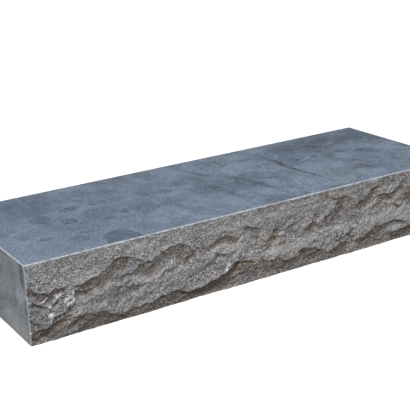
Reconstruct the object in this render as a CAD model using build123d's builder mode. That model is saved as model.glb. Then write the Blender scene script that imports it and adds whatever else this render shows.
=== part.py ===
from build123d import *
import os
from math import ceil, cos, pi

# Stair step block of blue limestone, sawn from the quarry block as one piece. The bed, the tread, the
# back and both ends are sawn flat, and the front is left as it split: a ragged face with two ledges.
# X runs along the step, the front looks towards -Y and Z is up. The origin is the middle of the bed.

# Driving dimensions, in millimetres
LENGTH = 1000.0  # end to end
TREAD_DEPTH = 350.0  # from the back to the front arris
HEIGHT = 150.0  # the rise, from the bed to the tread
ARRIS = 2.0  # chamfer round the edges of the tread

# Split face, measured out from the plumb plane through the front arris
TOP_BAND = 8.0  # strip under the tread that split off plumb
UPPER_LIP_PROUD = 3.0
LOWER_LIP_PROUD = 8.0
FOOT_SETBACK = 1.0
LEDGE_UNDERCUT = 7.0  # height in which a ledge falls back from its lip to the hollow under it
STATION_SPACING = 20.0  # from one cross-section of the face to the next

# Crests and dips of each ledge, as (distance from the left end, distance from the tread or the bed,
# depth of the step under the lip). The last point repeats the first, so a longer block goes on with it.
UPPER_LEDGE_BELOW_TREAD = [
    (0, 53, 4), (34, 65, 8), (80, 54, 5), (105, 62, 9), (141, 54, 9), (182, 30, 8), (236, 55, 6),
    (290, 32, 7), (345, 55, 5), (388, 42, 9), (436, 57, 8), (460, 34, 4), (500, 64, 6), (528, 43, 4),
    (560, 50, 3), (592, 70, 6), (614, 46, 5), (640, 64, 6), (690, 26, 4), (730, 46, 8), (786, 22, 8),
    (812, 40, 6), (848, 28, 6), (880, 56, 5), (920, 42, 6), (962, 60, 6), (1000, 53, 4),
]
LOWER_LEDGE_ABOVE_BED = [
    (0, 29, 6), (18, 23, 6), (66, 35, 8), (98, 26, 8), (123, 30, 10), (168, 14, 12), (223, 18, 12),
    (268, 27, 9), (327, 17, 13), (368, 24, 13), (430, 47, 12), (460, 34, 9), (482, 38, 10), (541, 25, 11),
    (570, 40, 9), (606, 34, 11), (640, 25, 10), (691, 30, 11), (716, 26, 7), (773, 41, 10), (818, 44, 7),
    (870, 32, 10), (915, 21, 10), (958, 33, 8), (1000, 29, 6),
]


def ledge_at(ledge, x):
    """Height and step of a ledge at x from the left end, eased from each crest or dip to the next."""
    x = x % ledge[-1][0]
    for (x0, *start), (x1, *end) in zip(ledge, ledge[1:]):
        if x <= x1:
            share = (1 - cos(pi * (x - x0) / (x1 - x0))) / 2
            return [a + (b - a) * share for a, b in zip(start, end)]


def waste_outline(x, waste):
    """Cross-section at x from the left end of the stone that splits off, as (y, z) points."""
    below_tread, upper_step = ledge_at(UPPER_LEDGE_BELOW_TREAD, x)
    lower_lip, lower_step = ledge_at(LOWER_LEDGE_ABOVE_BED, x)
    upper_lip = HEIGHT - below_tread
    face = [
        (0, HEIGHT + waste),
        (0, HEIGHT - TOP_BAND),
        (UPPER_LIP_PROUD, upper_lip),
        (UPPER_LIP_PROUD - upper_step, upper_lip - LEDGE_UNDERCUT),
        (LOWER_LIP_PROUD, lower_lip),
        (LOWER_LIP_PROUD - lower_step, lower_lip - LEDGE_UNDERCUT),
        (-FOOT_SETBACK, -LEDGE_UNDERCUT),
    ]
    rough_front = [(waste, -LEDGE_UNDERCUT), (waste, HEIGHT + waste)]
    return [(-TREAD_DEPTH / 2 - proud, z) for proud, z in face + rough_front]


waste = 2 * LOWER_LIP_PROUD  # thickness of the stone split off the front
stations = ceil(LENGTH / STATION_SPACING)

with BuildPart() as split_off:
    for station in range(-1, stations + 2):
        from_left = station * STATION_SPACING
        with BuildSketch(Plane.YZ.offset(from_left - LENGTH / 2)):
            with BuildLine():
                Polyline(*waste_outline(from_left, waste), close=True)
            make_face()
    loft()

with BuildPart() as step_block:
    with BuildSketch():
        with Locations((0, TREAD_DEPTH / 2)):
            Rectangle(LENGTH, TREAD_DEPTH + waste, align=(Align.CENTER, Align.MAX))
    extrude(amount=HEIGHT)
    add(split_off.part, mode=Mode.SUBTRACT)
    tread = step_block.faces().sort_by(Axis.Z)[-1]
    chamfer(tread.edges(), ARRIS)

step_block.part.label = "step_block"
os.makedirs("parts", exist_ok=True)
export_step(step_block.part, "parts/step_block.step")
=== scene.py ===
"""Looks of the stair step block: a limestone step with a honed tread, sawn sides and a split front."""

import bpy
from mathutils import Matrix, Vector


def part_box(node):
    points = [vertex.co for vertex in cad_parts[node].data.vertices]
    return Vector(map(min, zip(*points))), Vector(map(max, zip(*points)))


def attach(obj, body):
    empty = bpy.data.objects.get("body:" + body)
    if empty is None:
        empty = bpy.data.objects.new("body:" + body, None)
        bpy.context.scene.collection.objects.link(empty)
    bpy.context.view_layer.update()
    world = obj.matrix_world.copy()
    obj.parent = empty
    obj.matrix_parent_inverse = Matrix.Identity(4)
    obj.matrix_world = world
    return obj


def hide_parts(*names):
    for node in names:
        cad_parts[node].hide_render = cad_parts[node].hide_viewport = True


bl_info = {
    "name": "Stair Step Block",
    "version": (1, 0, 0),
    "blender": (4, 5, 0),
    "location": "View3D > Sidebar > Step Block",
    "description": "Models a split-face limestone step and the plain stage that it stands on",
    "category": "Add Mesh",
}

import math
from typing import NamedTuple

import bpy
import numpy as np
from bpy.props import FloatProperty, FloatVectorProperty, IntProperty, PointerProperty
from bpy.types import Operator, Panel, PropertyGroup
from mathutils import Matrix, Vector

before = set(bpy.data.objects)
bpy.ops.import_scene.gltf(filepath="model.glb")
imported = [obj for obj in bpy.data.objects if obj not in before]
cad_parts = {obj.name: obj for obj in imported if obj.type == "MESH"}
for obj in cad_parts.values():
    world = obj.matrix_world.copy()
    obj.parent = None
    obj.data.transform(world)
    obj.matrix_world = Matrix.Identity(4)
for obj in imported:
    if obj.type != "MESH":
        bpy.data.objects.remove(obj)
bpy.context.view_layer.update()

# The block in the frame, in metres. The origin lies halfway between the back and the front arris.
BLOCK_LOW, BLOCK_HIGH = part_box("step_block")
LEFT, RIGHT = BLOCK_LOW.x, BLOCK_HIGH.x
BACK = BLOCK_HIGH.y
FRONT = -BACK
HEIGHT = BLOCK_HIGH.z
LENGTH = RIGHT - LEFT
DEPTH = BACK - FRONT
MM = 0.001
TINY = 0.01 * MM  # tolerance when a face is known by its place
SMOOTH_UNDER = math.radians(38)  # edges that bend less are shaded smooth

# The split face, in millimetres
LOWER_LIP_PROUD = 8.0  # as far as any lip stands out
DEEPEST = 0.6  # where the hollow under a ledge is deepest, as a share of its width
CREASE = 3.0  # height of the sharp step right under a lip
CREASE_WIDTH = 3.0  # and the width in which it falls
CALM_FROM, CALM_OVER = 92.0, 22.0  # height above which the face split flatter, and how it gets there
CALM = 0.45  # share of the roughness that is missing above it
FAINT_FROM, FAINT_UNTIL = 95.0, 125.0  # heights between which its grain grows fainter
TOP_FADE, FOOT_FADE = 11.0, 14.0  # heights in which the relief dies away towards the tread and the bed
SETBACK_OVER = 12.0  # height in which the foot falls back

# Chance patterns of the split face, in millimetres
RAGGED_ALONG = ((26, 5), (11, 3.4), (5, 1.4))  # waves that push the lines about, as (size, reach)
RAGGED_UP = ((24, 4), (10, 3.4), (5, 1.4))
SCARS = ((70, 34, 2.0), (12, 8, 1.0))  # bowls that flakes left, as (width, height, depth)
FACETS = ((58, 34, 3.2), (24, 14, 1.7))  # flats that each lean their own way, given in the same way
FLAKES = ((30, 2.0, 60), (12, 1.2, 30), (6, 0.8, 22))  # as (pitch, depth, size of their patches)
GRAIN = ((5.5, 0.4), (2.7, 0.6))  # broken grains, as (size, share of their depth)
CHANCE_CELLS = 257  # along each side of a table of chance numbers

# The stage, in metres
FLOOR_SIZE = 40
LAMP_SIZE = 1.6  # side of each square soft lamp
KEY_LAMP_PLACE = Vector((-1.1, -1.4, 2.0))
REAR_LAMP_PLACE = Vector((1.3, 1.7, 1.8))

# Sockets of a Mix node set to colours
MIX_A, MIX_B, MIX_RESULT = 6, 7, 2


class Ledge(NamedTuple):
    """A broken step across the split face, in millimetres. Its proud side is on the left of the line."""

    lip: float  # how far its edge stands out
    drop: float  # how far the hollow under it falls back
    above: float  # width of the slope that rises to the edge
    below: float  # width of the hollow
    line: list  # points as (from the left end, above the bed)
    earth: float = 0.5  # share of earth and of painted shade in the hollow, at most


LEDGES = [
    # The upper ledge, in three arches and a ragged tail
    Ledge(2, 4, 30, 24, [(-2, 116), (5, 107), (12, 100), (20, 94), (34, 88), (48, 92), (64, 97), (76, 97),
        (88, 92)]),
    Ledge(3, 6, 45, 38, [(74, 91), (100, 92), (115, 95), (134, 101), (147, 108), (163, 118), (178, 123),
        (196, 121), (212, 111)], 0.6),
    Ledge(4, 5, 35, 42, [(205, 117), (215, 111), (228, 103), (238, 101), (251, 106), (265, 113), (280, 120),
        (294, 122), (303, 117), (314, 110), (326, 103), (350, 97)]),
    Ledge(3, 4, 40, 20, [(345, 94), (360, 97), (370, 102), (381, 107), (396, 109), (409, 108), (421, 104),
        (432, 97), (443, 92)]),
    Ledge(1, 3, 12, 34, [(437, 101), (442, 111), (453, 118), (465, 115), (480, 109), (494, 107)], 0.4),
    Ledge(2, 2.5, 22, 24, [(646, 138), (672, 130), (698, 126), (708, 118), (720, 112)], 0.4),
    Ledge(2.5, 4.5, 30, 28, [(708, 103), (724, 106), (740, 111), (752, 116), (758, 124), (764, 130),
        (776, 134), (796, 133)], 0.45),
    Ledge(2, 3.5, 16, 26, [(768, 105), (778, 110), (790, 115), (800, 116), (814, 112), (822, 116),
        (836, 121), (846, 129), (862, 130)], 0.45),
    Ledge(2.5, 5, 40, 36, [(858, 122), (880, 95), (905, 104), (930, 112), (955, 92), (980, 90),
        (1000, 96)], 0.6),
    # Short steps between the two long ledges
    Ledge(2, 1.5, 20, 10, [(363, 87), (373, 82), (386, 76), (405, 73), (416, 76), (428, 88)]),
    Ledge(2, 4, 18, 28, [(477, 60), (483, 67), (491, 74), (501, 84), (509, 92), (515, 102),
        (521, 116)]),
    Ledge(1, 1.5, 12, 14, [(500, 83), (512, 82), (530, 80), (544, 84)], 0.3),
    Ledge(1, 1.5, 12, 14, [(488, 67), (503, 65), (520, 67), (546, 72)], 0.3),
    Ledge(2, 4, 18, 28, [(581, 67), (587, 77), (595, 87), (603, 92), (608, 105), (614, 117)], 0.45),
    Ledge(1.5, 3, 16, 16, [(601, 92), (611, 91), (623, 87), (632, 82), (642, 75)], 0.4),
    Ledge(2.5, 5, 24, 44, [(622, 83), (632, 91), (648, 100), (660, 111), (672, 121), (684, 131)]),
    Ledge(1.5, 3, 12, 12, [(820, 90), (828, 84), (840, 80), (850, 86), (866, 96)]),
    Ledge(1, 2, 12, 16, [(154, 84), (170, 88), (190, 88), (212, 91)], 0.4),
    Ledge(1, 2, 14, 16, [(250, 60), (258, 66), (270, 73), (284, 77), (300, 82)], 0.4),
    Ledge(1, 2.5, 10, 18, [(180, 56), (194, 62), (208, 62), (226, 58)], 0.4),
    Ledge(1, 1.5, 12, 12, [(206, 34), (218, 38), (234, 43), (248, 45)], 0.3),
    Ledge(1, 2, 10, 14, [(398, 50), (414, 55), (430, 56), (444, 62)], 0.4),
    Ledge(1, 2, 12, 14, [(686, 45), (700, 49), (712, 55), (728, 58)], 0.3),
    # Tilted beds in the lower left corner
    Ledge(2, 3, 20, 22, [(22, 20), (28, 27), (36, 32), (46, 42), (60, 49), (78, 54), (92, 62)], 0.8),
    Ledge(1.5, 3, 10, 14, [(40, 26), (52, 33), (68, 38), (86, 40)], 0.7),
    Ledge(1.5, 3, 10, 14, [(62, 14), (74, 22), (88, 29), (104, 33)], 0.7),
    Ledge(1.5, 1.5, 10, 12, [(-4, 70), (10, 79), (22, 73), (31, 67), (40, 61)], 0.4),
    Ledge(1, 1.5, 8, 10, [(40, 61), (51, 69), (60, 74)]),
    Ledge(1.5, 2.5, 10, 12, [(88, 78), (100, 76), (114, 73), (130, 75)], 0.4),
    Ledge(1.5, 2.5, 14, 24, [(0, 34), (14, 27), (30, 28), (45, 33)], 0.8),
    Ledge(1.5, 2.5, 12, 22, [(-14, 78), (-4, 64), (2, 52), (10, 43), (20, 38), (36, 33)], 0.7),
    Ledge(1, 2, 10, 14, [(4, 8), (16, 14), (30, 17), (42, 14)], 0.7),
    # The lower ledge, over the brown hollow along the foot
    Ledge(2, 0.5, 30, 44, [(-30, 30), (14, 27), (30, 29), (60, 33), (90, 34)], 1.0),
    Ledge(5, 2.5, 50, 56, [(62, 35), (92, 35), (113, 34), (135, 33), (144, 30), (158, 21), (170, 18),
        (192, 21), (203, 20), (218, 23), (240, 24), (257, 30), (273, 28), (300, 28), (314, 23), (326, 21),
        (346, 24), (367, 28), (385, 32), (396, 35), (406, 42), (418, 49), (435, 53), (449, 50), (460, 44),
        (470, 38)], 0.9),
    Ledge(1, 3, 8, 34, [(290, 29), (314, 24), (326, 22), (346, 25), (367, 29), (385, 33), (396, 36),
        (406, 43), (418, 50), (435, 54), (449, 51), (464, 45), (474, 40)], 1.0),
    Ledge(6, 2.5, 38, 56, [(419, 31), (442, 34), (463, 38), (484, 42), (505, 38), (523, 37), (541, 31),
        (551, 26), (561, 29), (570, 37), (580, 42), (599, 38), (612, 36), (624, 33), (635, 28),
        (646, 36)]),
    Ledge(6, 2.5, 40, 50, [(634, 12), (642, 16), (652, 20), (663, 24), (680, 32), (691, 30),
        (712, 27)], 0.8),
    Ledge(6, 2.5, 40, 56, [(708, 27), (722, 31), (739, 35), (757, 42), (770, 47), (783, 43), (797, 38),
        (810, 39)], 0.85),
    Ledge(8, 2.5, 30, 24, [(772, 41), (794, 46), (804, 49), (816, 51), (828, 50), (842, 46), (858, 41),
        (874, 37)], 0.6),
    Ledge(4, 2.5, 30, 50, [(802, 20), (814, 22), (830, 24), (840, 21), (856, 26), (870, 33), (886, 34),
        (905, 22), (930, 25), (955, 34), (980, 30), (1000, 29)], 0.85),
]

# Pale patches of painted highlight where facets of the split face catch the light, as (from the left end,
# above the bed, half width, half height, turn in degrees), in millimetres
PAINTED_HIGHLIGHTS = [
    (396, 81, 25, 9, 0), (815, 62, 56, 14, 2), (660, 62, 40, 8, 4), (565, 52, 36, 7, 0), (515, 54, 26, 7, 0),
    (102, 100, 36, 6, 6), (905, 62, 40, 10, 0), (578, 137, 36, 5, 0), (836, 36, 28, 9, 4),
    (215, 132, 20, 6, 0), (400, 125, 34, 5, 0), (468, 125, 30, 6, 0), (512, 128, 14, 5, 0),
    (572, 124, 22, 5, 0), (606, 123, 20, 4, 0), (655, 123, 18, 4, 0),
]

# Patches of painted shade, given in the same way
PAINTED_SHADE_PATCHES = [
    (30, 58, 36, 30, 0), (66, 13, 80, 13, 3), (156, 58, 46, 15, 0), (72, 72, 18, 14, 0), (182, 90, 22, 8, 12),
    (330, 62, 22, 9, 0), (375, 13, 66, 9, 0), (680, 38, 24, 9, 0), (676, 88, 20, 8, 30),
    (730, 112, 16, 8, 20),
]

# White calcite in the split face, given in the same way
CALCITE_SPOTS = [
    (72, 70.5, 6, 3.2, 20), (80, 72, 4.5, 3, 0), (84.5, 76, 2.2, 5, -10), (85.5, 66, 2.6, 5, 10),
    (76.5, 60, 4.2, 2.8, 10), (68, 66, 2.4, 3, 0), (41, 49, 5, 3.4, -20), (54.7, 80, 1.8, 4.5, 20),
    (60, 80, 2.6, 2.4, 0), (29, 75, 8, 1.6, 8), (36, 79, 3, 1.6, 40), (41, 64, 3.5, 1.8, -20),
    (404, 48, 3, 7.5, -20), (401, 42, 2.8, 3.4, -20), (284, 86, 1.4, 3, 0), (327, 78, 1.4, 1.6, 30),
    (440, 98, 3, 1, 15), (634, 31, 2, 1, 30), (53.5, 109, 2, 1.6, 0),
]


class Stain(NamedTuple):
    """A patch of another shade on a flat face, in millimetres."""

    across: float  # its middle, from the left end on the tread and from the front arris on an end
    along: float  # its middle, from the back on the tread and above the bed on an end
    half_across: float
    half_along: float
    turn: float  # degrees, anticlockwise seen from outside
    strength: float
    blur: float = 1.0  # width of its soft rim, as a share of its half size


TREAD_STAINS = {
    # Damp rounds, clouds and streaks, darker than the dry stone
    "tread_shadow": [
        Stain(196, 346, 36, 54, 0, 1.0, 0.1), Stain(114, 159, 18, 22, 0, 0.9, 0.25),
        Stain(182, 135, 20, 14, 15, 1.1, 0.25), Stain(156, 197, 17, 15, -30, 1.0, 0.3),
        Stain(246, 132, 21, 16, 0, 0.6, 0.5), Stain(225, 183, 35, 28, 0, 0.55, 0.3),
        Stain(309, 190, 33, 31, 0, 0.42, 0.15), Stain(288, 135, 16, 14, 0, 0.5, 0.3),
        Stain(341, 140, 13, 18, 15, 0.8, 0.3), Stain(383, 153, 21, 12, 0, 0.6, 0.3),
        Stain(432, 130, 25, 16, 0, 0.6, 0.7), Stain(265, 213, 10, 10, 0, 0.9, 0.3),
        Stain(225, 229, 12, 9, 0, 0.65, 0.3), Stain(83, 258, 13, 7, -10, 0.8, 0.3),
        Stain(158, 269, 18, 5, -20, 0.9, 0.5), Stain(26, 197, 9, 10, 0, 0.6, 0.3),
        Stain(51, 184, 8, 8, 0, 0.6, 0.3), Stain(49, 225, 12, 20, 15, 0.55, 0.3),
        Stain(130, 292, 21, 15, 0, 0.7, 0.7), Stain(355, 221, 34, 8, 8, 0.75, 0.6),
        Stain(120, 66, 60, 50, 0, 0.8), Stain(172, 30, 16, 16, 0, 0.6), Stain(110, 123, 58, 6, 0, 0.6),
        Stain(580, 170, 24, 24, 20, 0.8), Stain(515, 206, 85, 52, 0, 0.65, 1.1),
        Stain(680, 82, 26, 34, 0, 0.7), Stain(636, 72, 24, 10, -15, 0.7, 0.9),
        Stain(715, 125, 40, 50, 0, 0.6), Stain(760, 64, 12, 24, 6, 0.9, 0.5),
        Stain(815, 76, 20, 24, 10, 1.2, 0.4), Stain(870, 48, 18, 14, 0, 1.2, 0.45),
        Stain(808, 30, 8, 20, 0, 0.7), Stain(850, 60, 170, 60, 0, 0.8, 1.2),
        Stain(892, 180, 24, 26, 20, 0.8), Stain(900, 274, 8, 20, 8, 0.9),
        Stain(612, 309, 10, 8, 30, 0.9, 0.7), Stain(768, 274, 12, 10, 0, 0.6),
        Stain(870, 240, 46, 60, 0, 0.4, 1.2), Stain(370, 90, 130, 56, 0, 0.35, 1.3),
    ],
    # Veins, from the back to the front, and a crack that leaves the longest
    "tread_vein": [
        Stain(481, 215, 10, 56, 8, 0.5), Stain(486, 300, 4, 34, -4, 0.3), Stain(500, 95, 8, 34, 20, 0.6),
        Stain(552, 180, 6, 26, 12, 0.58), Stain(562, 225, 10, 36, 12, 0.48), Stain(573, 285, 5, 40, 8, 0.4),
        Stain(577, 65, 5, 20, 0, 0.4), Stain(682, 130, 8, 62, 0, 0.8), Stain(687, 225, 7, 56, 6, 0.85),
        Stain(694, 290, 5, 26, 6, 0.5), Stain(707, 171, 20, 4, 3, 0.5), Stain(740, 164, 16, 4, 20, 0.55),
        Stain(772, 146, 22, 4, 34, 0.6), Stain(805, 123, 20, 4, 34, 0.6), Stain(828, 106, 10, 4, 36, 0.6),
        Stain(866, 97, 36, 4, 6, 0.5), Stain(840, 72, 110, 34, 0, 0.3, 1.3),
        Stain(814, 78, 14, 18, 10, 0.7), Stain(870, 49, 11, 9, 0, 0.5), Stain(831, 228, 6, 14, 14, 0.7),
        Stain(816, 268, 7, 24, 10, 0.6), Stain(730, 145, 7, 5, 0, 0.7), Stain(889, 170, 9, 6, 0, 0.6),
        Stain(536, 195, 4, 24, -30, 0.4),
    ],
    # Rubbed marks and pale webs between the rounds
    "tread_pale": [
        Stain(707, 98, 12, 2.2, 45, 0.9, 0.8), Stain(697, 32, 18, 8, 0, 0.45),
        Stain(640, 42, 12, 10, 0, 0.4), Stain(125, 52, 2, 42, 0, 0.45), Stain(926, 158, 5, 14, -10, 0.5),
        Stain(747, 150, 18, 4, 18, 0.5), Stain(914, 104, 14, 8, 40, 0.4),
        Stain(740, 225, 50, 36, 0, 0.4, 1.2), Stain(690, 300, 110, 40, 0, 0.35, 1.3),
        Stain(596, 244, 18, 24, 0, 0.4), Stain(502, 258, 14, 12, 0, 0.35), Stain(631, 268, 4, 12, -20, 0.5),
        Stain(838, 180, 10, 22, -18, 0.35), Stain(342, 190, 4, 14, -20, 0.5, 0.8),
        Stain(302, 260, 20, 8, 0, 0.35), Stain(288, 296, 5, 20, 8, 0.4), Stain(378, 62, 9, 22, 0, 0.4),
        Stain(274, 50, 12, 16, 0, 0.35), Stain(193, 102, 16, 8, 0, 0.35), Stain(378, 180, 26, 9, 0, 0.4),
        Stain(350, 292, 12, 10, 0, 0.35), Stain(353, 326, 14, 8, 0, 0.35),
        Stain(580, 112, 34, 30, 0, 0.3, 1.2), Stain(460, 50, 20, 24, 0, 0.3),
    ],
    # Scuffs with a trace of earth in them
    "tread_dust": [
        Stain(724, 324, 30, 7, 33, 0.5, 1.2), Stain(784, 288, 14, 9, 50, 0.45, 1.2),
        Stain(873, 82, 18, 7, 25, 0.4, 1.2), Stain(750, 302, 12, 5, 30, 0.35, 1.2),
    ],
    # Spots of iron
    "tread_iron": [
        Stain(480, 34, 6, 8, 0, 0.7), Stain(570, 25, 6, 5, 0, 0.5), Stain(540, 99, 7, 7, 0, 0.45),
        Stain(453, 106, 7, 7, 0, 0.45),
    ],
}
END_STAINS = {
    "sawn_shadow": [
        Stain(14, 138, 9, 36, 0, 1.6, 0.3), Stain(10, 66, 5, 22, 6, 1.0, 0.8),
        Stain(62, 64, 30, 9, 12, 0.6), Stain(72, 108, 30, 12, 20, 0.3), Stain(112, 54, 26, 7, 15, 0.6),
        Stain(98, 145, 10, 5, 0, 0.5),
    ],
    "sawn_pale": [
        Stain(30, 86, 22, 17, 35, 0.8, 0.9), Stain(60, 132, 40, 9, 15, 0.2), Stain(96, 30, 40, 9, 22, 0.5),
        Stain(47, 59, 8, 4, 20, 0.35), Stain(60, 36, 30, 6, 10, 0.4), Stain(92, 84, 46, 22, 25, 0.35, 1.2),
    ],
    "sawn_warm": [
        Stain(40, 8, 54, 22, 6, 0.65, 1.4), Stain(70, 24, 14, 5, 15, 0.4, 1.2),
    ],
}


def linear(hex_colour):
    """Linear red, green and blue of an sRGB hex colour."""
    parts = [int(hex_colour[i:i + 2], 16) / 255 for i in (1, 3, 5)]
    return [c / 12.92 if c <= 0.04045 else ((c + 0.055) / 1.055) ** 2.4 for c in parts]


class StoneShape(PropertyGroup):
    mesh_spacing: FloatProperty(
        name="Mesh Spacing", description="Size of the quads on the split face",
        default=1.26 * MM, min=0.5 * MM, unit="LENGTH")
    arris: FloatProperty(
        name="Arris", description="Width of the chamfer round the tread",
        default=1.8 * MM, min=0.0, unit="LENGTH")
    end_arris: FloatProperty(
        name="End Arris", description="Width of the bruised edge where the split face meets an end",
        default=1.2 * MM, min=0.0, unit="LENGTH")
    foot_setback: FloatProperty(
        name="Foot Setback", description="How far the foot of the split face lies behind the front arris",
        default=1 * MM, unit="LENGTH")
    chip_depth: FloatProperty(
        name="Chip Depth", description="How much a chip widens the arris",
        default=1.2 * MM, min=0.0, unit="LENGTH")
    scar_depth: FloatProperty(
        name="Scar Depth", description="How deep the flake scars are, as a share of their natural depth",
        default=1.0, min=0.0, subtype="FACTOR")
    grain_depth: FloatProperty(
        name="Grain Depth", description="Roughness of the broken grain, from hollow to crest",
        default=1.0 * MM, min=0.0, unit="LENGTH")
    seed: IntProperty(name="Seed", description="Picks the chance pattern of scars and chips", default=7)


def colour_property(name, description, hex_colour):
    """A colour that the user can change."""
    return FloatVectorProperty(
        name=name, description=description, default=linear(hex_colour), subtype="COLOR", min=0, max=1)


class StoneFinish(PropertyGroup):
    tread: colour_property("Tread", "Dry honed stone", "#8190a3")
    tread_deep: colour_property("Tread Deep", "Darker clouds in the honed stone", "#56616e")
    tread_shadow: colour_property("Tread Shadow", "Damp rounds on the tread", "#586576")
    tread_vein: colour_property("Tread Vein", "Veins in the honed stone", "#3d454f")
    tread_pale: colour_property("Tread Pale", "Rubbed marks on the tread", "#95a2b2")
    tread_dust: colour_property("Tread Dust", "Earthy scuffs on the tread", "#99a1a9")
    tread_iron: colour_property("Tread Iron", "Spots of iron on the tread", "#72766a")
    sawn: colour_property("Sawn", "Sawn ends, back and bed", "#abb1b7")
    sawn_shadow: colour_property("Sawn Shadow", "Dark clouds on the sawn faces", "#73777c")
    sawn_pale: colour_property("Sawn Pale", "Stone dust on the sawn faces", "#c0c6cc")
    sawn_warm: colour_property("Sawn Warm", "Dust with a trace of earth, low on an end", "#c8c7c5")
    split: colour_property("Split", "Freshly broken stone", "#8a8c90")
    split_warm: colour_property("Split Warm", "Broken stone with a trace of iron", "#918982")
    # Also laid on as painted highlight: in the pale patches, on facets that face up and on proud crests
    split_crest: colour_property("Split Crest", "Bruised crests of the broken stone", "#c3c5c9")
    # Also the tint of painted shade: on facets that face down, in crevices, in broad hollows and under the
    # ledges
    earth: colour_property("Earth", "Tint of the earthy film in the hollows", "#c8b195")
    # Tint of the patches of painted shade on the split face
    painted_shade: colour_property("Damp", "Tint of the damp in the split face", "#dddddf")
    speck_dark: colour_property("Dark Speck", "Dark grains in the broken stone", "#524d4a")
    speck_cool: colour_property("Cool Speck", "Pale blue-grey grains", "#eceef3")
    speck_warm: colour_property("Warm Speck", "Pale beige grains", "#d6cabd")
    arris: colour_property("Arris", "Bruised edges", "#cbd2d9")
    calcite: colour_property("Calcite", "White crystals in the split face", "#fbfbfc")


class StageSettings(PropertyGroup):
    camera_place: FloatVectorProperty(
        name="Camera Place", description="Where the camera stands", default=(-1.0331, -1.6125, 0.7622),
        subtype="TRANSLATION", unit="LENGTH")
    camera_yaw: FloatProperty(
        name="Camera Yaw", description="Turn of the view from +Y towards +X",
        default=math.radians(31.813), subtype="ANGLE")
    camera_pitch: FloatProperty(
        name="Camera Pitch", description="How far the camera looks down",
        default=math.radians(18.991), subtype="ANGLE")
    camera_roll: FloatProperty(
        name="Camera Roll", description="Turn of the picture about the line of sight",
        default=math.radians(-2.114), subtype="ANGLE")
    lens: FloatProperty(
        name="Lens", description="Focal length in millimetres on a 36 mm sensor", default=85.79, min=1)
    ambient: FloatProperty(
        name="Ambient", description="Strength of the even light from all round", default=0.45, min=0)
    key_power: FloatProperty(
        name="Key Power", description="Power of the soft lamp in front", default=36, min=0, unit="POWER")
    rear_power: FloatProperty(
        name="Rear Power", description="Power of the weaker lamp behind", default=8, min=0, unit="POWER")
    floor: colour_property("Floor", "Floor, as it sends light back to the stone", "#7d7d7d")
    floor_seen: colour_property("Floor Seen", "Floor, as the camera sees it", "#d0d0d0")
    floor_lift: FloatProperty(
        name="Floor Lift", description="Light added to the floor as the camera sees it", default=0.74, min=0)


# Split face

def lattice(rng):
    """A seeded table for a pattern of chance."""
    return rng.uniform(-1, 1, (CHANCE_CELLS, CHANCE_CELLS))


def look_up(table, column, row):
    return table[column % CHANCE_CELLS, row % CHANCE_CELLS]


def smooth_step(share):
    share = np.clip(share, 0, 1)
    return share * share * (3 - 2 * share)


def noise(x, z, size, rng):
    """Smooth noise from -1 to 1 with bumps of that size."""
    table = lattice(rng)
    u, v = x / size, z / size
    column, row = np.floor(u).astype(int), np.floor(v).astype(int)
    along, up = smooth_step(u - column), smooth_step(v - row)
    low = look_up(table, column, row) * (1 - along) + look_up(table, column + 1, row) * along
    high = look_up(table, column, row + 1) * (1 - along) + look_up(table, column + 1, row + 1) * along
    return low * (1 - up) + high * up


def waves(x, z, sizes, rng):
    """Noises on top of each other, given as (size, strength)."""
    return sum(strength * noise(x, z, size, rng) for size, strength in sizes)


def cells_near(x, z, width, height, rng):
    """The nine nearest cells of a ragged grid, as (column and row, offset along and up from its middle)."""
    shift_u, shift_v = lattice(rng), lattice(rng)
    u, v = x / width, z / height
    column, row = np.floor(u).astype(int), np.floor(v).astype(int)
    cells = []
    for i in (-1, 0, 1):
        for j in (-1, 0, 1):
            cell = column + i, row + j
            off_u = u - cell[0] - 0.5 - 0.45 * look_up(shift_u, *cell)
            off_v = v - cell[1] - 0.5 - 0.45 * look_up(shift_v, *cell)
            cells.append((cell, off_u, off_v))
    return cells


def flake_scars(x, z, width, height, rng):
    """Shallow bowls that meet in sharp ridges, as flakes leave them; 0 in a bowl, about 1 on a ridge."""
    cells = cells_near(x, z, width, height, rng)
    level = lattice(rng)
    bowls = [off_u ** 2 + off_v ** 2 + 0.3 * look_up(level, *cell) for cell, off_u, off_v in cells]
    return np.min(bowls, axis=0)


def facets(x, z, width, height, rng):
    """Flat facets that each lean their own way, with sharp steps between them; about -1 to 1."""
    cells = cells_near(x, z, width, height, rng)
    level, lean_u, lean_v = (lattice(rng) for _ in range(3))
    nearest, facet = np.full(x.shape, np.inf), np.zeros(x.shape)
    for cell, off_u, off_v in cells:
        away = off_u ** 2 + off_v ** 2
        plane = 0.4 * look_up(level, *cell) + look_up(lean_u, *cell) * off_u + look_up(lean_v, *cell) * off_v
        facet = np.where(away < nearest, plane, facet)
        nearest = np.minimum(nearest, away)
    return facet


def shingles(x, z, pitch, rng):
    """Thin flakes that overlap like shingles; 0 at the top of a flake and 1 at the lip along its foot."""
    course = z / pitch + 1.5 * noise(x, z, 3.2 * pitch, rng) + 0.45 * noise(x, z, pitch, rng)
    return 1 - (course - np.floor(course))


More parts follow.
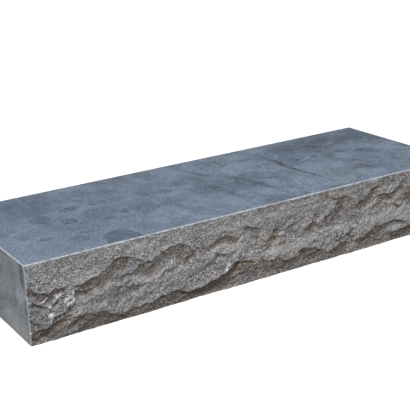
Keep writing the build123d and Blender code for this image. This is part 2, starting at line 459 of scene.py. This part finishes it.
def ledge_relief(x, z, ledge, gain):
    """How far a ledge moves the face out, in millimetres, and the share of earth and painted shade in the
    hollow under it.
    """
    points = np.array(ledge.line, float)
    steps = np.diff(points, axis=0)
    lengths = np.hypot(*steps.T)
    starts = np.concatenate([[0], np.cumsum(lengths)])
    nearest, side, travelled = np.full(x.shape, np.inf), np.zeros(x.shape), np.zeros(x.shape)
    for start, step, length, begun in zip(points, steps, lengths, starts):
        dx, dz = x - start[0], z - start[1]
        share = np.clip((dx * step[0] + dz * step[1]) / length ** 2, 0, 1)
        off_x, off_z = dx - share * step[0], dz - share * step[1]
        away = np.hypot(off_x, off_z)
        closer = away < nearest
        nearest[closer] = away[closer]
        side[closer] = (step[0] * off_z - step[1] * off_x)[closer]
        travelled[closer] = (begun + share * length)[closer]
    whole = starts[-1]
    fade = gain * smooth_step(np.minimum(travelled, whole - travelled) / min(0.3 * whole, 30))
    rise = ledge.lip * np.clip(1 - nearest / ledge.above, 0, 1) ** 1.5
    deepest = DEEPEST * ledge.below
    fall = np.sin(math.pi / 2 * np.clip(nearest / deepest, 0, 1))
    out_again = 1 - smooth_step((nearest - deepest) / (ledge.below - deepest))
    crease = min(CREASE, 0.7 * (ledge.lip + ledge.drop))
    sharp = crease * np.clip(nearest / CREASE_WIDTH, 0, 1) * out_again
    hollow = ledge.lip * (1 - fall) - (ledge.drop - crease) * fall * out_again - sharp
    # The hollow under the lip holds earth, and painted shade as well
    earth = ledge.earth * smooth_step(1 - nearest / ledge.below)
    proud_side = side >= 0
    return fade * np.where(proud_side, rise, hollow), fade * np.where(proud_side, 0, earth)


def split_relief(x, z, shape):
    """How far the split face stands out from the front arris, in metres, and its earth and painted shade, at
    points in mm.
    """
    rng = np.random.default_rng(shape.seed)
    warp_x, warp_z = waves(x, z, RAGGED_ALONG, rng), waves(x, z, RAGGED_UP, rng)
    ragged_x, ragged_z = x + 0.6 * warp_x, z + 0.6 * warp_z
    gain = np.clip(1.05 + 0.4 * noise(x, z, 34, rng), 0.8, 1.35)
    relief, earth = np.zeros(x.shape), np.zeros(x.shape)
    for ledge in LEDGES:
        moved, film = ledge_relief(ragged_x, ragged_z, ledge, gain)
        relief += moved
        earth = np.maximum(earth, film)
    # The flakes came off along beds that lean
    leaning_x, leaning_z = x + 1.2 * warp_x - 0.3 * z, z + 1.2 * warp_z - 0.2 * x
    roughness = shape.scar_depth * (1 - CALM * smooth_step((z - CALM_FROM) / CALM_OVER))
    for width, height, depth in SCARS:
        scars = flake_scars(leaning_x, leaning_z, width, height, rng)
        relief += roughness * depth * (scars - scars.mean())
    for width, height, depth in FACETS:
        relief += roughness * depth * facets(leaning_x, leaning_z, width, height, rng)
    for pitch, depth, patch in FLAKES:
        strength = smooth_step(0.2 + 1.1 * noise(x, z, patch, rng))
        relief += roughness * depth * strength * (shingles(leaning_x, leaning_z, pitch, rng) - 0.5)
    # All of it dies away towards the tread, and at the foot, where half of each hollow is left
    below_tread, at_foot = HEIGHT / MM - z, smooth_step((z + 3) / FOOT_FADE)
    relief *= smooth_step((below_tread + 1) / TOP_FADE) * np.where(relief > 0, at_foot, 0.5 + 0.5 * at_foot)
    relief = LOWER_LIP_PROUD * np.tanh(relief / LOWER_LIP_PROUD)
    relief += shape.grain_depth / MM * waves(x, z, GRAIN, rng) * smooth_step((below_tread + 0.5) / 3)
    setback = shape.foot_setback * (1 - smooth_step((z + 2) / SETBACK_OVER))
    return MM * relief - setback, np.clip(earth, 0, 1)


def spot_share(x, z, spots, rim, rng):
    """1 inside the spots and 0 outside, with ragged rims of that width as a share of the half size."""
    rough = waves(x, z, ((3.5, 0.45), (7, 0.3)), rng)
    share = np.zeros(x.shape)
    for across, up, half_width, half_height, turn in spots:
        c, s = math.cos(math.radians(turn)), math.sin(math.radians(turn))
        u = ((x - across) * c + (z - up) * s) / half_width
        v = ((z - up) * c - (x - across) * s) / half_height
        share = np.maximum(share, np.clip((1 + rim / 2 - np.hypot(u, v) + rough) / rim, 0, 1))
    return share


def blurred(grid, reach):
    """Mean of a grid over a square of 2 * reach + 1 cells."""
    for axis in (0, 1):
        padded = np.pad(grid, [(reach + 1, reach) if a == axis else (0, 0) for a in (0, 1)], mode="edge")
        sums = np.cumsum(padded, axis=axis)
        count = grid.shape[axis]
        ends = np.take(sums, np.arange(2 * reach + 1, 2 * reach + 1 + count), axis=axis)
        begins = np.take(sums, np.arange(count), axis=axis)
        grid = (ends - begins) / (2 * reach + 1)
    return grid


def store(mesh, name, order, values):
    """Keeps a grid of values as an attribute of the mesh's points, for the split face's finish."""
    at_points = np.empty(values.size, np.float32)
    at_points[order] = values.ravel()
    mesh.attributes.new(name, "FLOAT", "POINT").data.foreach_set("value", at_points)


def chip_widths(places, base, depth, rng):
    """Width of a bruised edge at places along it, in metres: even, with a nick here and there."""
    flat = np.zeros(places.shape)
    wide_nicks = np.clip(noise(places, flat, 16, rng) - 0.45, 0, 1)
    short_nicks = np.clip(noise(places, flat, 5, rng) - 0.5, 0, 1)
    return base * (1 + 0.25 * noise(places, flat, 30, rng)) + depth * (wide_nicks + 0.6 * short_nicks)


def carve_split_face(block, shape):
    """Moves a flat grid's points onto the split face, with its bruised edges along the tread and the ends."""
    mesh = block.data
    places = np.empty(len(mesh.vertices) * 3, np.float32)
    mesh.vertices.foreach_get("co", places)
    places = places.reshape(-1, 3).astype(float)
    # The points in rows from the bed up, each row from the left end, told apart to a micrometre
    order = np.lexsort((places[:, 0].round(6), places[:, 2].round(6)))
    columns = int(np.sum(np.isclose(places[:, 2], places[:, 2].min(), atol=1e-6)))
    grid = places[order].reshape(-1, columns, 3)
    rng = np.random.default_rng(shape.seed + 1)

    along = (grid[0, :, 0] - LEFT) / MM
    arris = chip_widths(along, shape.arris, shape.chip_depth, rng)
    climb = np.linspace(0, 1, len(grid) - 1)[:, None]
    z = np.vstack([climb * (HEIGHT - arris), np.full(columns, HEIGHT)])
    x = grid[:, :, 0].copy()
    relief, earth = split_relief((x - LEFT) / MM, z / MM, shape)
    out = relief.copy()
    out[-1] = -arris

    up = z[:, 0] / MM
    for edge, beside, inward in ((0, 1, 1), (-1, -2, -1)):
        width = chip_widths(up, shape.end_arris, shape.chip_depth, rng)
        x[:, beside] = x[:, edge] + inward * width
        out[:, edge] = np.minimum(out[:, edge], out[:, beside]) - width

    grid[:, :, 0], grid[:, :, 1], grid[:, :, 2] = x, FRONT - out, z
    places[order] = grid.reshape(-1, 3)
    mesh.vertices.foreach_set("co", places.astype(np.float32).ravel())

    # How each point stands out near by and far off, and how far it faces up: the finish paints highlight and
    # shade by them
    near, far = (relief - blurred(relief, round(reach * MM / shape.mesh_spacing)) for reach in (5, 22))
    rise = np.gradient(blurred(relief, 2), shape.mesh_spacing, axis=0)
    from_left, above_bed = (x - LEFT) / MM, z / MM
    # The earth share is earth with painted shade under the ledges, the grey patches are painted shade and the
    # pale patches painted highlight
    named = {
        "standing_near": near / MM,
        "standing_far": far / MM,
        "facing_up": -rise,
        "earth": earth,
        "calcite": spot_share(from_left, above_bed, CALCITE_SPOTS, 0.2, rng),
        "bruised": spot_share(from_left, above_bed, PAINTED_HIGHLIGHTS, 1.4, rng),
        "painted_shade": spot_share(from_left, above_bed, PAINTED_SHADE_PATCHES, 1.2, rng),
    }
    for name, values in named.items():
        store(mesh, name, order, values)
    mesh.update()


# Mesh tools

def is_flat_side(centre):
    """True on the bed, the tread, the back and the ends."""
    return (
        centre.z < TINY or centre.z > HEIGHT - TINY or centre.y > BACK - TINY
        or centre.x < LEFT + TINY or centre.x > RIGHT - TINY
    )


def select_flat_sides(block):
    """Selects the faces of the flat sides, and nothing else."""
    bpy.ops.object.mode_set(mode="EDIT")
    bpy.ops.mesh.select_mode(type="FACE")
    bpy.ops.mesh.select_all(action="DESELECT")
    bpy.ops.object.mode_set(mode="OBJECT")
    for face in block.data.polygons:
        face.select = is_flat_side(face.center)
    bpy.ops.object.mode_set(mode="EDIT")


def close_block(block):
    """Draws the rim of the split face back to the sawn back and closes it, as a block with flat sides."""
    bpy.ops.object.mode_set(mode="EDIT")
    bpy.ops.mesh.select_mode(type="EDGE")
    bpy.ops.mesh.select_all(action="SELECT")
    bpy.ops.mesh.region_to_loop()
    bpy.ops.mesh.extrude_edges_move(TRANSFORM_OT_translate={"value": (0, DEPTH, 0)})
    bpy.ops.transform.resize(value=(1, 0, 1), center_override=(0, BACK, 0))
    bpy.ops.mesh.edge_face_add()
    bpy.ops.mesh.select_all(action="SELECT")
    bpy.ops.mesh.normals_make_consistent(inside=False)
    select_flat_sides(block)
    bpy.ops.mesh.dissolve_limited(angle_limit=math.radians(0.5))
    bpy.ops.object.mode_set(mode="OBJECT")


def chamfer_tread(arris):
    """Cuts the chamfers along the ends and the back of the tread."""
    bpy.ops.object.mode_set(mode="EDIT")
    for x, y in ((-1, 0), (1, 0), (0, 1)):
        bpy.ops.mesh.select_all(action="SELECT")
        edge = Vector((x * RIGHT, y * BACK, HEIGHT - arris))
        bpy.ops.mesh.bisect(plane_co=edge, plane_no=(x, y, 1), use_fill=True, clear_outer=True)
    bpy.ops.mesh.select_all(action="SELECT")
    bpy.ops.mesh.normals_make_consistent(inside=False)
    bpy.ops.object.mode_set(mode="OBJECT")


# Materials

def add(tree, kind, inputs=None, **settings):
    """Adds a node with its settings. inputs maps sockets to values, or to the outputs that they link to."""
    node = tree.nodes.new("ShaderNode" + kind)
    for name, value in settings.items():
        setattr(node, name, value)
    for socket, value in (inputs or {}).items():
        if isinstance(value, bpy.types.NodeSocket):
            tree.links.new(value, node.inputs[socket])
        else:
            node.inputs[socket].default_value = value
    return node


def new_material(name, roughness, specular):
    """A plain material, with its node tree, its shader and the object's own coordinates."""
    material = bpy.data.materials.new(name)
    material.use_nodes = True
    tree = material.node_tree
    tree.nodes.clear()
    shader = add(tree, "BsdfPrincipled", {"Roughness": roughness, "Specular IOR Level": specular})
    add(tree, "OutputMaterial", {"Surface": shader.outputs["BSDF"]})
    return material, tree, shader, add(tree, "TexCoord").outputs["Object"]


def tinted(tree, colour, layers):
    """colour under layers that are laid on in turn, each as (share, tint, blend type)."""
    for share, tint, blend in layers:
        under, over = (c if isinstance(c, bpy.types.NodeSocket) else (*c, 1) for c in (colour, tint))
        layer = add(
            tree, "Mix", {"Factor": share, MIX_A: under, MIX_B: over}, data_type="RGBA", blend_type=blend)
        colour = layer.outputs[MIX_RESULT]
    return colour


def stain_share(tree, place, stains, on_face):
    """0 to 1 in stains that are patchy inside. on_face gives a stain's middle, half sizes and turn."""
    covered = 0.0
    for stain in stains:
        outer = 1 + stain.blur / 2
        glow = add(tree, "TexGradient", {"Vector": place}, gradient_type="SPHERICAL")
        mapping = glow.texture_mapping
        mapping.vector_type = "TEXTURE"
        mapping.translation, half, mapping.rotation = on_face(stain)
        mapping.scale = [outer * size for size in half]
        inside = add(tree, "MapRange", {
            "Value": glow.outputs["Fac"], "From Max": stain.blur / outer, "To Max": stain.strength},
            interpolation_type="SMOOTHSTEP")
        covered = add(tree, "Math", {0: inside.outputs["Result"], 1: covered}, operation="MAXIMUM").outputs[0]
    patchy = add(tree, "MapRange", {
        "Value": clouds(tree, place, 16 * MM, 0.38, 0.62), "To Min": 0.5, "To Max": 1.1})
    share = add(tree, "Math", {0: covered, 1: patchy.outputs["Result"]}, operation="MULTIPLY", use_clamp=True)
    return share.outputs[0]


def on_tread(stain):
    """Middle, half sizes and turn of a stain on the tread. Its own depth is more than any face's."""
    return (
        (LEFT + stain.across * MM, BACK - stain.along * MM, HEIGHT),
        (stain.half_across * MM, stain.half_along * MM, 1),
        (0, 0, math.radians(stain.turn)),
    )


def on_left_end(stain):
    """Middle, half sizes and turn of a stain on the left end."""
    return (
        (LEFT, FRONT + stain.across * MM, stain.along * MM),
        (0.1, stain.half_across * MM, stain.half_along * MM),
        (math.radians(-stain.turn), 0, 0),
    )


def warped(tree, place, size, reach):
    """place pushed about by up to reach, in waves of that size, both in metres."""
    ripples = add(tree, "TexNoise", {"Vector": place, "Scale": 1 / size, "Detail": 2.0})
    centred = add(tree, "VectorMath", {0: ripples.outputs["Color"], 1: (0.5, 0.5, 0.5)}, operation="SUBTRACT")
    pushed = add(tree, "VectorMath", {0: centred.outputs["Vector"], "Scale": 2 * reach}, operation="SCALE")
    return add(tree, "VectorMath", {0: place, 1: pushed.outputs["Vector"]}).outputs["Vector"]


def clouds(tree, place, size, low, high, detail=4.0, roughness=0.6):
    """0 to 1 in clouds of that size in metres; low and high are the noise levels for 0 and 1."""
    cloud = add(tree, "TexNoise", {
        "Vector": place, "Scale": 1 / size, "Detail": detail, "Roughness": roughness})
    share = add(tree, "MapRange", {"Value": cloud.outputs["Fac"], "From Min": low, "From Max": high})
    return share.outputs["Result"]


def honed_tread(finish):
    """Honed limestone: smooth and dull, with soft clouds, wet rounds and veins under a faint sheen."""
    material, tree, shader, place = new_material("honed_limestone", roughness=0.7, specular=0.1)
    swirled = warped(tree, place, 60 * MM, 20 * MM)
    along = add(tree, "SeparateXYZ", {"Vector": place}).outputs["X"]
    cloud_sizes = ((140, 0.5, 0.1), (45, 0.4, 0.07), (18, 0.3, 0.07), (7, 0.25, 0.08))
    shade = -0.5 * sum(weight for _, weight, _ in cloud_sizes)
    for size, weight, spread in cloud_sizes:
        cloud = clouds(tree, swirled, size * MM, 0.5 - spread, 0.5 + spread, roughness=0.65)
        shade = add(tree, "Math", {0: cloud, 1: weight, 2: shade}, operation="MULTIPLY_ADD").outputs[0]
    # The clouds are fainter towards the left end
    strength = add(tree, "MapRange", {
        "Value": along, "From Min": LEFT, "From Max": RIGHT, "To Min": 0.7, "To Max": 1.65}).outputs["Result"]
    shade = add(tree, "Math", {0: shade, 1: strength}, operation="MULTIPLY").outputs[0]
    depth = add(tree, "MapRange", {"Value": shade, "From Min": -0.5, "From Max": 1.0}).outputs["Result"]
    layers = [(depth, finish.tread_deep, "MIX")]
    ragged = warped(tree, warped(tree, place, 40 * MM, 5 * MM), 9 * MM, 3.5 * MM)
    for name, stains in TREAD_STAINS.items():
        layers.append((stain_share(tree, ragged, stains, on_tread), getattr(finish, name), "MIX"))
    # Grains of under 1 mm are finer than a pixel, so they are drawn 5 mm wide
    grain = clouds(tree, place, 5 * MM, 0.32, 0.68, detail=3.0, roughness=0.8)
    grey = add(tree, "MapRange", {"Value": grain, "To Min": 0.6, "To Max": 1.4}).outputs["Result"]
    layers.append((1.0, grey, "MULTIPLY"))
    bump = add(tree, "Bump", {"Height": grain, "Strength": 0.15, "Distance": 0.3 * MM})
    tree.links.new(tinted(tree, finish.tread, layers), shader.inputs["Base Color"])
    tree.links.new(bump.outputs["Normal"], shader.inputs["Normal"])
    return material


def sawn_stone(finish):
    """Sawn limestone: flat and matt, clouded by stone dust, with faint streaks where the blade ran."""
    material, tree, shader, place = new_material("sawn_limestone", roughness=0.8, specular=0.2)
    along_blade = add(tree, "Mapping", {
        "Vector": warped(tree, place, 40 * MM, 8 * MM), "Rotation": (math.radians(-28), 0, 0),
        "Scale": (0.4, 0.35, 1)}).outputs["Vector"]
    shade = clouds(tree, place, 70 * MM, 0.35, 0.65)
    for size in (16, 6, 2.5):
        streaks = clouds(tree, along_blade, size * MM, 0.39, 0.61)
        shade = add(tree, "Math", {0: streaks, 1: 0.5, 2: shade}, operation="MULTIPLY_ADD").outputs[0]
    depth = add(tree, "MapRange", {"Value": shade, "From Min": 0.5, "From Max": 2.6}).outputs["Result"]
    layers = [(depth, finish.sawn_shadow, "MIX")]
    ragged = warped(tree, place, 20 * MM, 6 * MM)
    for name, stains in END_STAINS.items():
        layers.append((stain_share(tree, ragged, stains, on_left_end), getattr(finish, name), "MIX"))
    # Grains of under 1 mm are finer than a pixel, so they are drawn 4 mm wide, long the way the blade ran
    grain = clouds(tree, along_blade, 4 * MM, 0.3, 0.7, detail=3.0)
    grey = add(tree, "MapRange", {"Value": grain, "To Min": 0.7, "To Max": 1.3}).outputs["Result"]
    layers.append((1.0, grey, "MULTIPLY"))
    bump = add(tree, "Bump", {"Height": grain, "Strength": 0.25, "Distance": 0.4 * MM})
    tree.links.new(tinted(tree, finish.sawn, layers), shader.inputs["Base Color"])
    tree.links.new(bump.outputs["Normal"], shader.inputs["Normal"])
    return material


def split_stone(finish):
    """Split limestone: broken through its grains, so it is speckled, with pale crests and earthy hollows; the
    pale crests are partly painted highlight and the dark hollows partly painted shade.
    """
    material, tree, shader, place = new_material("split_limestone", roughness=0.85, specular=0.2)
    near, far, up, earth, bruised, painted_shade, calcite = (
        add(tree, "Attribute", attribute_name=name).outputs["Fac"]
        for name in ("standing_near", "standing_far", "facing_up", "earth", "bruised", "painted_shade", "calcite"))
    position = add(tree, "SeparateXYZ", {"Vector": place})
    # The stone is warmer towards the right end
    iron = add(tree, "MapRange", {
        "Value": position.outputs["X"], "From Min": LEFT, "From Max": RIGHT, "To Min": 0.0, "To Max": 1.6})
    warm = add(tree, "Math", {0: clouds(tree, place, 50 * MM, 0.35, 0.65), 1: iron.outputs["Result"]},
               operation="MULTIPLY", use_clamp=True)
    layers = [(warm.outputs[0], finish.split_warm, "MIX")]
    mottle = clouds(tree, place, 13 * MM, 0.35, 0.65, roughness=0.7)
    grey = add(tree, "MapRange", {"Value": mottle, "To Min": 0.89, "To Max": 1.11}).outputs["Result"]
    layers.append((1.0, grey, "MULTIPLY"))
    # Grains of under 1 mm are finer than a pixel, so they are drawn 1.25 mm wide, long the way it split
    streaked = add(tree, "Mapping", {
        "Vector": warped(tree, place, 12 * MM, 3 * MM), "Rotation": (0, math.radians(17), 0),
        "Scale": (0.52, 1, 1)}).outputs["Vector"]
    grains = add(tree, "TexVoronoi", {"Vector": streaked, "Scale": 1 / (1.25 * MM)})
    wisps = add(tree, "TexNoise", {
        "Vector": streaked, "Scale": 1 / (3.5 * MM), "Detail": 3.0, "Roughness": 0.75})
    grain, wisp = (
        add(tree, "SeparateColor", {"Color": pattern.outputs["Color"]}) for pattern in (grains, wisps))
    # The grain shows less in the strip under the tread, and in patches
    strongest = add(tree, "MapRange", {
        "Value": position.outputs["Z"], "From Min": FAINT_FROM * MM, "From Max": FAINT_UNTIL * MM,
        "To Min": 0.95, "To Max": 0.8}).outputs["Result"]
    speckled = add(tree, "MapRange", {
        "Value": clouds(tree, place, 40 * MM, 0.38, 0.62), "To Min": 0.55,
        "To Max": strongest}).outputs["Result"]
    # Each tint is laid on by how the stone stands out, faces or holds earth, or by chance, grain by grain.
    # The crest tint in the pale patches, on facets that face up and on proud crests is painted highlight;
    # the earth tint on facets that face down, in crevices and in broad hollows is painted shade, and under
    # the ledges it is earth with painted shade; the grey patch tint is painted shade.
    for value, start, full, most, tint, blend in (
            (bruised, 0.0, 1.0, 0.9, finish.split_crest, "MIX"),
            (up, 0.0, 0.5, 0.5, finish.split_crest, "MIX"),
            (near, 0.3, 1.8, 0.5, finish.split_crest, "MIX"),
            (wisp.outputs["Red"], 0.47, 0.3, 0.33, finish.speck_dark, "MIX"),
            (wisp.outputs["Red"], 0.54, 0.72, 0.33, finish.speck_cool, "MIX"),
            (grain.outputs["Red"], 0.36, 0.02, speckled, finish.speck_dark, "MIX"),
            (grain.outputs["Red"], 0.66, 0.86, speckled, finish.speck_cool, "MIX"),
            (grain.outputs["Green"], 0.8, 0.97, speckled, finish.speck_warm, "MIX"),
            (up, -0.1, -0.8, 0.5, finish.earth, "MULTIPLY"),
            (far, -0.4, -3.2, 0.4, finish.earth, "MULTIPLY"),
            (near, -0.6, -2.5, 0.5, finish.earth, "MULTIPLY"),
            (earth, 0.0, 1.0, 0.7, finish.earth, "MULTIPLY"),
            (painted_shade, 0.0, 1.0, 1.0, finish.painted_shade, "MULTIPLY")):
        share = add(tree, "MapRange", {"Value": value, "From Min": start, "From Max": full, "To Max": most})
        layers.append((share.outputs["Result"], tint, blend))
    layers.append((calcite, finish.calcite, "MIX"))
    grit = clouds(tree, place, 2 * MM, 0.2, 0.8, detail=3.0)
    bump = add(tree, "Bump", {"Height": grit, "Strength": 1.0, "Distance": 1.2 * MM})
    tree.links.new(tinted(tree, finish.split, layers), shader.inputs["Base Color"])
    tree.links.new(bump.outputs["Normal"], shader.inputs["Normal"])
    return material


def bruised_arris(finish):
    """Bruised limestone edge: crushed pale by the saw and by handling, with darker gaps."""
    material, tree, shader, place = new_material("bruised_limestone", roughness=0.8, specular=0.2)
    wear = clouds(tree, place, 9 * MM, 0.45, 0.75)
    colour = tinted(tree, finish.arris, [(wear, finish.tread, "MIX")])
    tree.links.new(colour, shader.inputs["Base Color"])
    return material


FINISHES = [split_stone, bruised_arris, honed_tread, sawn_stone]
SPLIT, ARRIS, TREAD, SAWN = range(len(FINISHES))


def finish_faces(block, finish):
    """Gives each face the finish of its place."""
    for make in FINISHES:
        block.data.materials.append(make(finish))
    for face in block.data.polygons:
        if face.center.z > HEIGHT - TINY:
            face.material_index = TREAD
        elif is_flat_side(face.center):
            face.material_index = SAWN
        elif len(face.vertices) > 4 and face.normal.z > 0.5:
            face.material_index = ARRIS


class STEPBLOCK_OT_model_stone(Operator):
    """Model the step block: its split face from a grid, then its sawn sides, chamfers and finishes"""

    bl_idname = "step_block.model_stone"
    bl_label = "Model Stone"
    bl_options = {"REGISTER", "UNDO"}

    def execute(self, context):
        shape, finish = context.scene.step_block_shape, context.scene.step_block_finish
        columns, rows = round(LENGTH / shape.mesh_spacing), round(HEIGHT / shape.mesh_spacing)
        bpy.ops.object.select_all(action="DESELECT")
        bpy.ops.mesh.primitive_grid_add(
            x_subdivisions=columns, y_subdivisions=rows, size=1,
            location=(0, FRONT, HEIGHT / 2), rotation=(math.pi / 2, 0, 0))
        block = context.object
        block.name = block.data.name = "stone_block"
        block.scale = (LENGTH, HEIGHT, 1)
        bpy.ops.object.transform_apply(location=True, rotation=True, scale=True)
        carve_split_face(block, shape)
        top = HEIGHT - shape.arris
        for face in block.data.polygons:
            at_tread = face.normal.z > 0.3 and face.center.z > top
            at_end = abs(face.center.x) > RIGHT - 0.9 * shape.end_arris
            face.material_index = ARRIS if at_tread or at_end else SPLIT
        close_block(block)
        chamfer_tread(shape.arris)
        finish_faces(block, finish)
        bpy.ops.object.shade_smooth_by_angle(angle=SMOOTH_UNDER)
        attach(block, "root")
        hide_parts("step_block")
        return {"FINISHED"}


# Stage

def seen_share(tree):
    """1 where a surface is seen, directly or mirrored, and 0 where it only sends light on."""
    path = add(tree, "LightPath")
    seen = path.outputs["Is Camera Ray"]
    for ray in ("Is Glossy Ray", "Is Transmission Ray"):
        seen = add(tree, "Math", {0: seen, 1: path.outputs[ray]}, operation="MAXIMUM").outputs[0]
    return seen


def pale_floor(stage):
    """A pale floor: it keeps the block's shadow, and looks white to the camera."""
    material, tree, shader, _ = new_material("pale_floor", roughness=1.0, specular=0.0)
    seen = seen_share(tree)
    lift = add(tree, "Math", {0: seen, 1: stage.floor_lift}, operation="MULTIPLY")
    shader.inputs["Emission Color"].default_value = (1, 1, 1, 1)
    colour = tinted(tree, stage.floor, [(seen, stage.floor_seen, "MIX")])
    tree.links.new(colour, shader.inputs["Base Color"])
    tree.links.new(lift.outputs[0], shader.inputs["Emission Strength"])
    return material


def light_world(world, stage):
    """Even light from all round, and a white background where it is seen."""
    world.use_nodes = True
    tree = world.node_tree
    tree.nodes.clear()
    even = add(tree, "Background", {"Color": (1, 1, 1, 1), "Strength": stage.ambient})
    white = add(tree, "Background", {"Color": (1, 1, 1, 1), "Strength": 1.0})
    both = add(tree, "MixShader", {0: seen_share(tree), 1: even.outputs[0], 2: white.outputs[0]})
    add(tree, "OutputWorld", {"Surface": both.outputs[0]})


def camera_turn(stage):
    """Turn of the camera from its yaw, pitch and roll."""
    yaw, pitch, roll = stage.camera_yaw, stage.camera_pitch, stage.camera_roll
    forward = Vector((math.sin(yaw) * math.cos(pitch), math.cos(yaw) * math.cos(pitch), -math.sin(pitch)))
    right = Vector((math.cos(yaw), -math.sin(yaw), 0))
    up = right.cross(forward)
    rolled_right = right * math.cos(roll) + up * math.sin(roll)
    rolled_up = up * math.cos(roll) - right * math.sin(roll)
    return Matrix((rolled_right, rolled_up, -forward)).transposed().to_euler()


class STEPBLOCK_OT_set_stage(Operator):
    """Set the stage: a pale floor, soft light from all round and above, and the camera"""

    bl_idname = "step_block.set_stage"
    bl_label = "Set Stage"
    bl_options = {"REGISTER", "UNDO"}

    def execute(self, context):
        scene, stage = context.scene, context.scene.step_block_stage
        bpy.ops.object.select_all(action="DESELECT")
        bpy.ops.mesh.primitive_plane_add(size=FLOOR_SIZE)
        floor = context.object
        floor.name = "pale_floor"
        floor.data.materials.append(pale_floor(stage))
        scene.world = scene.world or bpy.data.worlds.new("studio")
        light_world(scene.world, stage)
        for name, place, power in (
                ("key_lamp", KEY_LAMP_PLACE, stage.key_power),
                ("rear_lamp", REAR_LAMP_PLACE, stage.rear_power)):
            aim = (-place).to_track_quat("-Z", "Y").to_euler()
            bpy.ops.object.light_add(type="AREA", location=place, rotation=aim)
            lamp = context.object
            lamp.name = name
            lamp.data.energy = power
            lamp.data.size = LAMP_SIZE
        bpy.ops.object.camera_add(location=stage.camera_place, rotation=camera_turn(stage))
        camera = context.object
        camera.data.lens = stage.lens
        scene.camera = camera
        scene.view_settings.view_transform = "Standard"
        return {"FINISHED"}


class STEPBLOCK_PT_panel(Panel):
    bl_label = "Step Block"
    bl_idname = "STEPBLOCK_PT_panel"
    bl_space_type = "VIEW_3D"
    bl_region_type = "UI"
    bl_category = "Step Block"

    def draw(self, context):
        scene, layout = context.scene, self.layout
        layout.operator(STEPBLOCK_OT_model_stone.bl_idname)
        layout.operator(STEPBLOCK_OT_set_stage.bl_idname)
        for settings in (scene.step_block_shape, scene.step_block_finish, scene.step_block_stage):
            box = layout.box()
            for name in settings.__annotations__:
                box.prop(settings, name)


CLASSES = (
    StoneShape, StoneFinish, StageSettings,
    STEPBLOCK_OT_model_stone, STEPBLOCK_OT_set_stage, STEPBLOCK_PT_panel,
)


def register():
    for cls in CLASSES:
        bpy.utils.register_class(cls)
    bpy.types.Scene.step_block_shape = PointerProperty(type=StoneShape)
    bpy.types.Scene.step_block_finish = PointerProperty(type=StoneFinish)
    bpy.types.Scene.step_block_stage = PointerProperty(type=StageSettings)


def unregister():
    for name in ("step_block_stage", "step_block_finish", "step_block_shape"):
        delattr(bpy.types.Scene, name)
    for cls in reversed(CLASSES):
        bpy.utils.unregister_class(cls)


def main():
    register()
    bpy.ops.step_block.model_stone()
    bpy.ops.step_block.set_stage()


if __name__ == "__main__":
    main()
